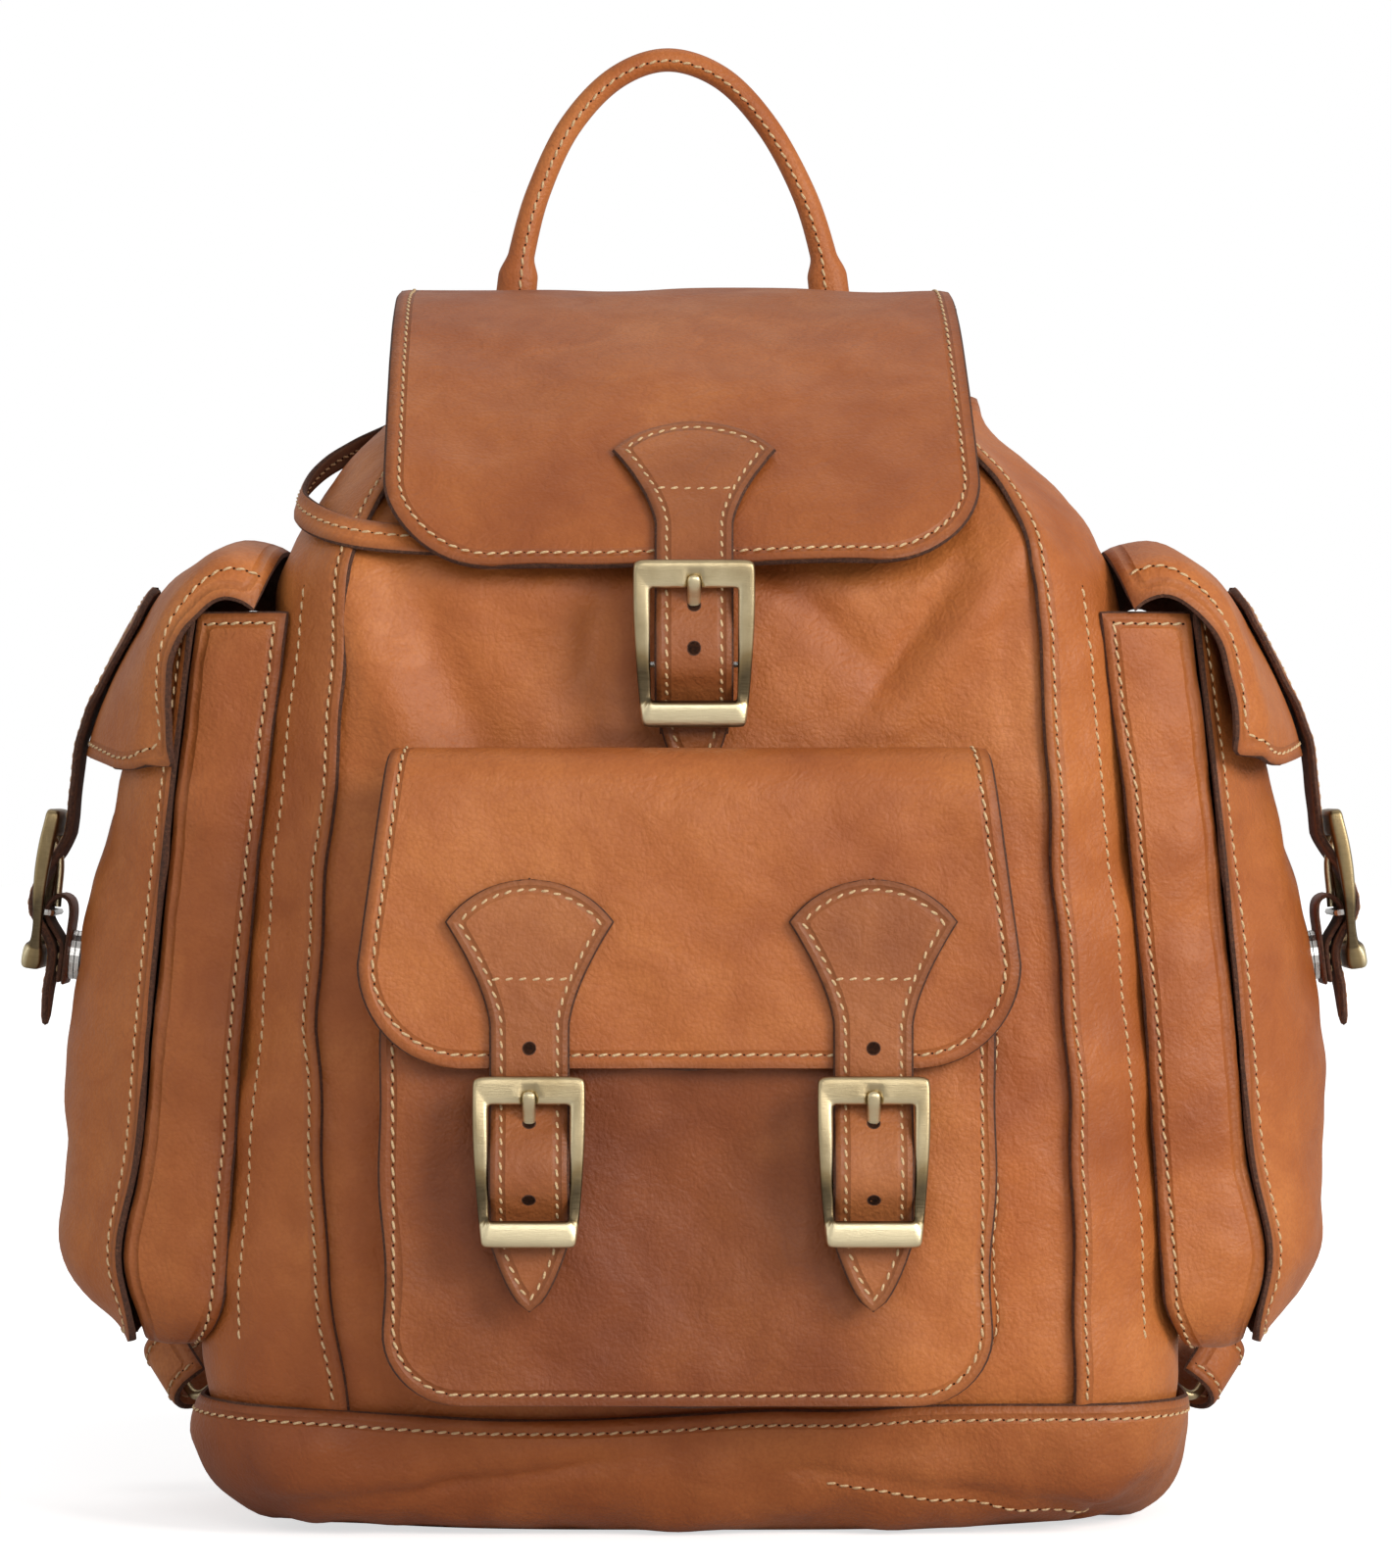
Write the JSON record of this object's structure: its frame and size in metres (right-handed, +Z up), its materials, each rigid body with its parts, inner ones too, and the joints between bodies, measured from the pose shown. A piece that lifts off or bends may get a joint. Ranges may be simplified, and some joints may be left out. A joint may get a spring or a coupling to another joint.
{
  "type": "backpack",
  "caption": "Gusseted leather backpack with a buckled top flap, a front pocket and side pockets with buckled flaps, a rolled handle and shoulder straps.",
  "frame": {"origin": "on the ground under the middle of the bag's body, halfway across its width and halfway between its front and back panels", "axes": "+Z up, -Y out of the bag's front, +X to the right when it is seen from the front"},
  "size_m": [0.436, 0.2543, 0.4888],
  "materials": {
    "body_leather": "semi-matt full-grain cognac leather",
    "trim_leather": "semi-matt tan leather, edges left raw",
    "brass": "antique, brushed high spots",
    "steel": "bright nickel"
  },
  "bodies": {
    "bag": {"base_pan": "body_leather", "front_panel": "body_leather", "back_panel": "body_leather", "side_gusset_left": "body_leather", "side_gusset_right": "body_leather", "mouth_strip": "trim_leather", "back_yoke": "body_leather", "front_pocket_panel": "body_leather", "front_pocket_gusset": "trim_leather", "front_flap_root": "body_leather", "side_pocket_panel_left": "body_leather", "side_pocket_panel_right": "body_leather", "side_pocket_gusset_left": "trim_leather", "side_pocket_gusset_right": "trim_leather", "ring_tab_left": "trim_leather", "ring_tab_right": "trim_leather", "snap_base_main": "steel", "snap_base_pocket_left": "steel", "snap_base_pocket_right": "steel", "snap_base_side_left": "steel", "snap_base_side_right": "steel"},
    "main_lid": {"main_flap": "body_leather", "strap_main": "trim_leather", "chape_main": "trim_leather", "snap_cap_main": "steel"},
    "pocket_lid": {"front_pocket_flap": "body_leather", "strap_pocket_left": "trim_leather", "chape_pocket_left": "trim_leather", "snap_cap_pocket_left": "steel", "strap_pocket_right": "trim_leather", "chape_pocket_right": "trim_leather", "snap_cap_pocket_right": "steel"},
    "side_lid_left": {"side_flap_left": "body_leather", "strap_side_left": "trim_leather", "chape_side_left": "trim_leather", "snap_cap_side_left": "steel"},
    "side_lid_right": {"side_flap_right": "body_leather", "strap_side_right": "trim_leather", "chape_side_right": "trim_leather", "snap_cap_side_right": "steel"},
    "buckle_main": {"buckle_frame_main": "brass", "buckle_bar_main": "steel", "prong_main": "steel"},
    "buckle_pocket_left": {"buckle_frame_pocket_left": "brass", "buckle_bar_pocket_left": "steel", "prong_pocket_left": "steel"},
    "buckle_pocket_right": {"buckle_frame_pocket_right": "brass", "buckle_bar_pocket_right": "steel", "prong_pocket_right": "steel"},
    "buckle_side_left": {"buckle_frame_side_left": "brass", "buckle_bar_side_left": "steel", "prong_side_left": "steel"},
    "buckle_side_right": {"buckle_frame_side_right": "brass", "buckle_bar_side_right": "steel", "prong_side_right": "steel"},
    "handle": {"carry_handle": "body_leather"},
    "shoulder_left": {"shoulder_strap_left": "body_leather", "corner_ring_left": "brass"},
    "shoulder_right": {"shoulder_strap_right": "body_leather", "corner_ring_right": "brass"}
  },
  "joints": [
    {"name": "main_lid_fold", "type": "hinge", "parent": "bag", "child": "main_lid", "pos_m": [0, 0.0768, 0.4015], "axis": [-1, 0, 0], "range_deg": [0, 95]},
    {"name": "pocket_lid_fold", "type": "hinge", "parent": "bag", "child": "pocket_lid", "pos_m": [0, -0.0965, 0.2475], "axis": [-1, 0, 0], "range_deg": [0, 100]},
    {"name": "side_lid_fold_left", "type": "hinge", "parent": "bag", "child": "side_lid_left", "pos_m": [-0.132, -0.003, 0.312], "axis": [0, 1, 0], "range_deg": [0, 85]},
    {"name": "side_lid_fold_right", "type": "hinge", "parent": "bag", "child": "side_lid_right", "pos_m": [0.132, -0.003, 0.312], "axis": [0, -1, 0], "range_deg": [0, 85]},
    {"name": "buckle_rock_main", "type": "hinge", "parent": "main_lid", "child": "buckle_main", "pos_m": [0, -0.08893, 0.2753], "axis": [1, 0, 0], "range_deg": [-1.5, 1.5]},
    {"name": "buckle_rock_pocket_left", "type": "hinge", "parent": "pocket_lid", "child": "buckle_pocket_left", "pos_m": [-0.0505, -0.12235, 0.115], "axis": [1, 0, 0], "range_deg": [-1.5, 1.5]},
    {"name": "buckle_rock_pocket_right", "type": "hinge", "parent": "pocket_lid", "child": "buckle_pocket_right", "pos_m": [0.055, -0.12235, 0.115], "axis": [1, 0, 0], "range_deg": [-1.5, 1.5]},
    {"name": "buckle_rock_side_left", "type": "hinge", "parent": "side_lid_left", "child": "buckle_side_left", "pos_m": [-0.20778, -0.003, 0.19623], "axis": [0, -1, 0], "range_deg": [-1.5, 1.5]},
    {"name": "buckle_rock_side_right", "type": "hinge", "parent": "side_lid_right", "child": "buckle_side_right", "pos_m": [0.20778, -0.003, 0.19623], "axis": [0, 1, 0], "range_deg": [-1.5, 1.5]},
    {"name": "handle_fold", "type": "hinge", "parent": "bag", "child": "handle", "pos_m": [0, 0.0834, 0.388], "axis": [-1, 0, 0], "range_deg": [0, 90]},
    {"name": "shoulder_swing_left", "type": "hinge", "parent": "bag", "child": "shoulder_left", "pos_m": [-0.1595, 0.08, 0.051], "axis": [0.3771, 0.0052, 0.9262], "range_deg": [-6, 6]},
    {"name": "shoulder_swing_right", "type": "hinge", "parent": "bag", "child": "shoulder_right", "pos_m": [0.1595, 0.08, 0.051], "axis": [-0.3771, 0.0052, 0.9262], "range_deg": [-6, 6]}
  ]
}
